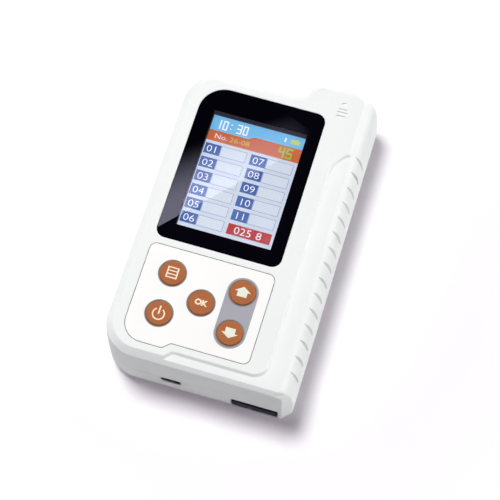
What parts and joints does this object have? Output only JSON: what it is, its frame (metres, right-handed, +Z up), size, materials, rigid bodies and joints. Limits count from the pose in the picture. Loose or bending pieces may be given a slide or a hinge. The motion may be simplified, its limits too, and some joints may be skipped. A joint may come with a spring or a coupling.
{
  "type": "handheld urine analyzer",
  "caption": "Handheld test-strip reader: moulded white case, colour display, push buttons and a motor-driven strip tray that slides out of its end.",
  "frame": {"origin": "under the middle of the case, on the surface that the feet stand on", "axes": "+Z up through the display, +Y towards the end away from the strip slot, +X towards the grip grooves"},
  "size_m": [0.0734, 0.126, 0.0308],
  "materials": {
    "white_moulding": "fine-textured white ABS",
    "lens_glass": "black-bordered polished acrylic",
    "foam": "black foam",
    "panel": "lit colour display",
    "film": "satin printed film",
    "orange_cap": "satin orange moulding",
    "switch_metal": "stamped plate",
    "circuit_board": "solder-masked laminate",
    "screw_steel": "zinc-plated steel",
    "ribbon": "flat flexible cable",
    "socket_steel": "stamped nickel-plated steel",
    "charcoal_moulding": "charcoal ABS",
    "grey_moulding": "grey ABS",
    "acetal": "natural acetal",
    "shaft_steel": "ground steel",
    "motor_can": "drawn steel can",
    "black_moulding": "light-tight black moulding",
    "pouch_foil": "laminated foil pouch",
    "foot_rubber": "grey rubber"
  },
  "bodies": {
    "housing": {"front_cover": "white_moulding", "rear_cover": "white_moulding", "display_lens": "lens_glass", "display_gasket": "foam", "display_module": "panel", "keypad_overlay": "film", "menu_switch": "switch_metal", "ok_switch": "switch_metal", "power_switch": "switch_metal", "up_switch": "switch_metal", "down_switch": "switch_metal", "front_board": "circuit_board", "main_board": "circuit_board", "sensor_board": "circuit_board", "front_board_screw_1": "screw_steel", "front_board_screw_2": "screw_steel", "front_board_screw_3": "screw_steel", "front_board_screw_4": "screw_steel", "main_board_screw_1": "screw_steel", "main_board_screw_2": "screw_steel", "main_board_screw_3": "screw_steel", "main_board_screw_4": "screw_steel", "ribbon_cable": "ribbon", "usb_connector": "socket_steel", "tray_guide": "grey_moulding", "drive_motor": "motor_can", "optical_head": "black_moulding", "battery": "pouch_foil", "buzzer": "black_moulding", "housing_screw_1": "screw_steel", "housing_screw_2": "screw_steel", "housing_screw_3": "screw_steel", "housing_screw_4": "screw_steel", "foot_1": "foot_rubber", "foot_2": "foot_rubber", "foot_3": "foot_rubber", "foot_4": "foot_rubber"},
    "menu_button": {"menu_button": "orange_cap"},
    "ok_button": {"ok_button": "orange_cap"},
    "power_button": {"power_button": "orange_cap"},
    "up_button": {"up_button": "orange_cap"},
    "down_button": {"down_button": "orange_cap"},
    "tray": {"strip_tray": "charcoal_moulding"},
    "pinion": {"drive_pinion": "acetal", "motor_shaft": "shaft_steel"}
  },
  "joints": [
    {"name": "menu_press", "type": "slide", "parent": "housing", "child": "menu_button", "axis": [0, 0, 1], "range_m": [-0.0006, 0], "stiffness_N_per_m": 1200},
    {"name": "ok_press", "type": "slide", "parent": "housing", "child": "ok_button", "axis": [0, 0, 1], "range_m": [-0.0006, 0], "stiffness_N_per_m": 1200},
    {"name": "power_press", "type": "slide", "parent": "housing", "child": "power_button", "axis": [0, 0, 1], "range_m": [-0.0006, 0], "stiffness_N_per_m": 1200},
    {"name": "up_press", "type": "slide", "parent": "housing", "child": "up_button", "axis": [0, 0, 1], "range_m": [-0.0006, 0], "stiffness_N_per_m": 1200},
    {"name": "down_press", "type": "slide", "parent": "housing", "child": "down_button", "axis": [0, 0, 1], "range_m": [-0.0006, 0], "stiffness_N_per_m": 1200},
    {"name": "tray_slide", "type": "slide", "parent": "housing", "child": "tray", "axis": [0, -1, 0], "range_m": [0, 0.055]},
    {"name": "pinion_spin", "type": "hinge", "parent": "housing", "child": "pinion", "pos_m": [0.01045, -0.04, 0.0046], "axis": [0, 0, 1], "range_deg": [-645, 0]}
  ],
  "couplings": [
    {"joint": "pinion_spin", "follows": "tray_slide", "rad_per_m": -204.08}
  ]
}
